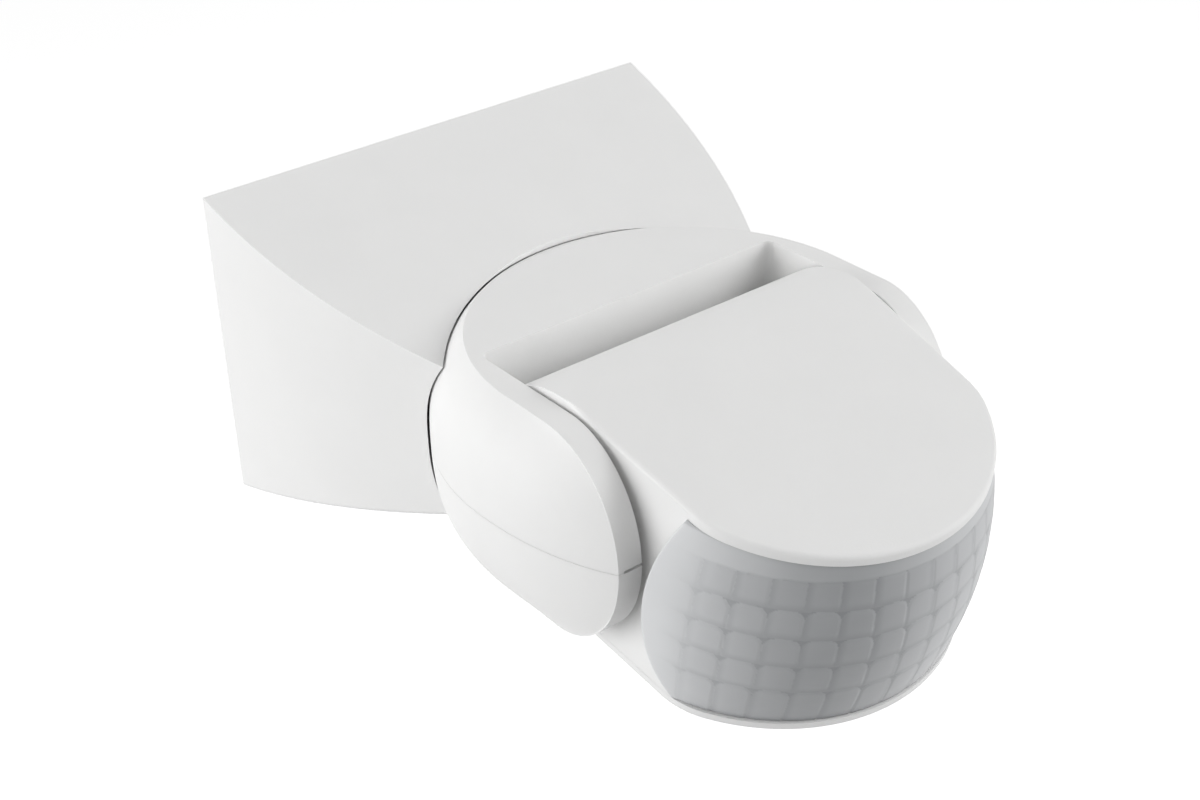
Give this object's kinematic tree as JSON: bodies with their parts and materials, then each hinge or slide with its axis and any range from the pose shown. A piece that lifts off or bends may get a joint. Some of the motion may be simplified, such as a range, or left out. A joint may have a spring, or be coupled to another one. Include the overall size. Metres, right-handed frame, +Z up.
{
  "type": "motion sensor",
  "caption": "Wall-mounted infrared motion sensor: tapered housing, panning yoke and a tilting head with a curved segmented lens.",
  "frame": {"origin": "centre of the flat face that lies on the wall", "axes": "+X to the right seen from in front, +Y into the wall (the sensor points along -Y), +Z up"},
  "size_m": [0.08, 0.1082, 0.05],
  "materials": {
    "white_shell": "fine matte moulded white plastic",
    "white_inner": "plain moulded white plastic",
    "black_rubber": "matte",
    "terminal_plastic": "matte",
    "brass": "plain",
    "zinc_steel": "zinc plated",
    "grey_washer": "matte",
    "lens": "milky translucent, satin",
    "circuit_board": "solder mask",
    "sensor_can": "satin",
    "sensor_filter": "dark, polished",
    "led": "clear red",
    "photocell": "lacquered",
    "relay_case": "moulded",
    "capacitor_sleeve": "shrink sleeve",
    "film_case": "moulded",
    "potentiometer": "moulded",
    "dial": "matte"
  },
  "bodies": {
    "wall_base": {"wall_housing": "white_shell", "back_plate": "white_inner", "rear_seal": "black_rubber", "cable_grommet": "black_rubber", "terminal_block": "terminal_plastic", "terminal_cages": "brass", "terminal_screws": "zinc_steel", "housing_screws": "zinc_steel"},
    "yoke": {"yoke_upper": "white_shell", "yoke_lower": "white_shell", "yoke_screws": "zinc_steel", "pan_neck": "white_inner", "pan_retainer": "white_inner", "retainer_screws": "zinc_steel", "tilt_washers": "grey_washer"},
    "head": {"head_top_shell": "white_shell", "head_bottom_cover": "white_shell", "head_screws": "zinc_steel", "fresnel_lens": "lens", "main_board": "circuit_board", "sensor_board": "circuit_board", "pir_sensor": "sensor_can", "pir_filter": "sensor_filter", "status_led": "led", "photocell": "photocell", "relay": "relay_case", "electrolytic_capacitor": "capacitor_sleeve", "film_capacitor": "film_case", "potentiometers": "potentiometer", "tilt_axle_left": "white_inner", "tilt_axle_right": "white_inner", "tilt_clips": "zinc_steel"},
    "lux_dial": {"dial_lux": "dial"},
    "time_dial": {"dial_time": "dial"},
    "range_dial": {"dial_range": "dial"}
  },
  "joints": [
    {"name": "yoke_pan", "type": "hinge", "parent": "wall_base", "child": "yoke", "pos_m": [0, -0.0596, -0.0011], "axis": [0, 0, 1], "range_deg": [-25, 25]},
    {"name": "head_tilt", "type": "hinge", "parent": "yoke", "child": "head", "pos_m": [0, -0.0661, -0.0011], "axis": [1, 0, 0], "range_deg": [-45.2, 59.8]},
    {"name": "lux_turn", "type": "hinge", "parent": "head", "child": "lux_dial", "pos_m": [-0.0115, -0.06913, -0.01877], "axis": [0, -0.1521, 0.9884], "range_deg": [-135, 135]},
    {"name": "time_turn", "type": "hinge", "parent": "head", "child": "time_dial", "pos_m": [0, -0.06913, -0.01877], "axis": [0, -0.1521, 0.9884], "range_deg": [-135, 135]},
    {"name": "range_turn", "type": "hinge", "parent": "head", "child": "range_dial", "pos_m": [0.0115, -0.06913, -0.01877], "axis": [0, -0.1521, 0.9884], "range_deg": [-135, 135]}
  ]
}
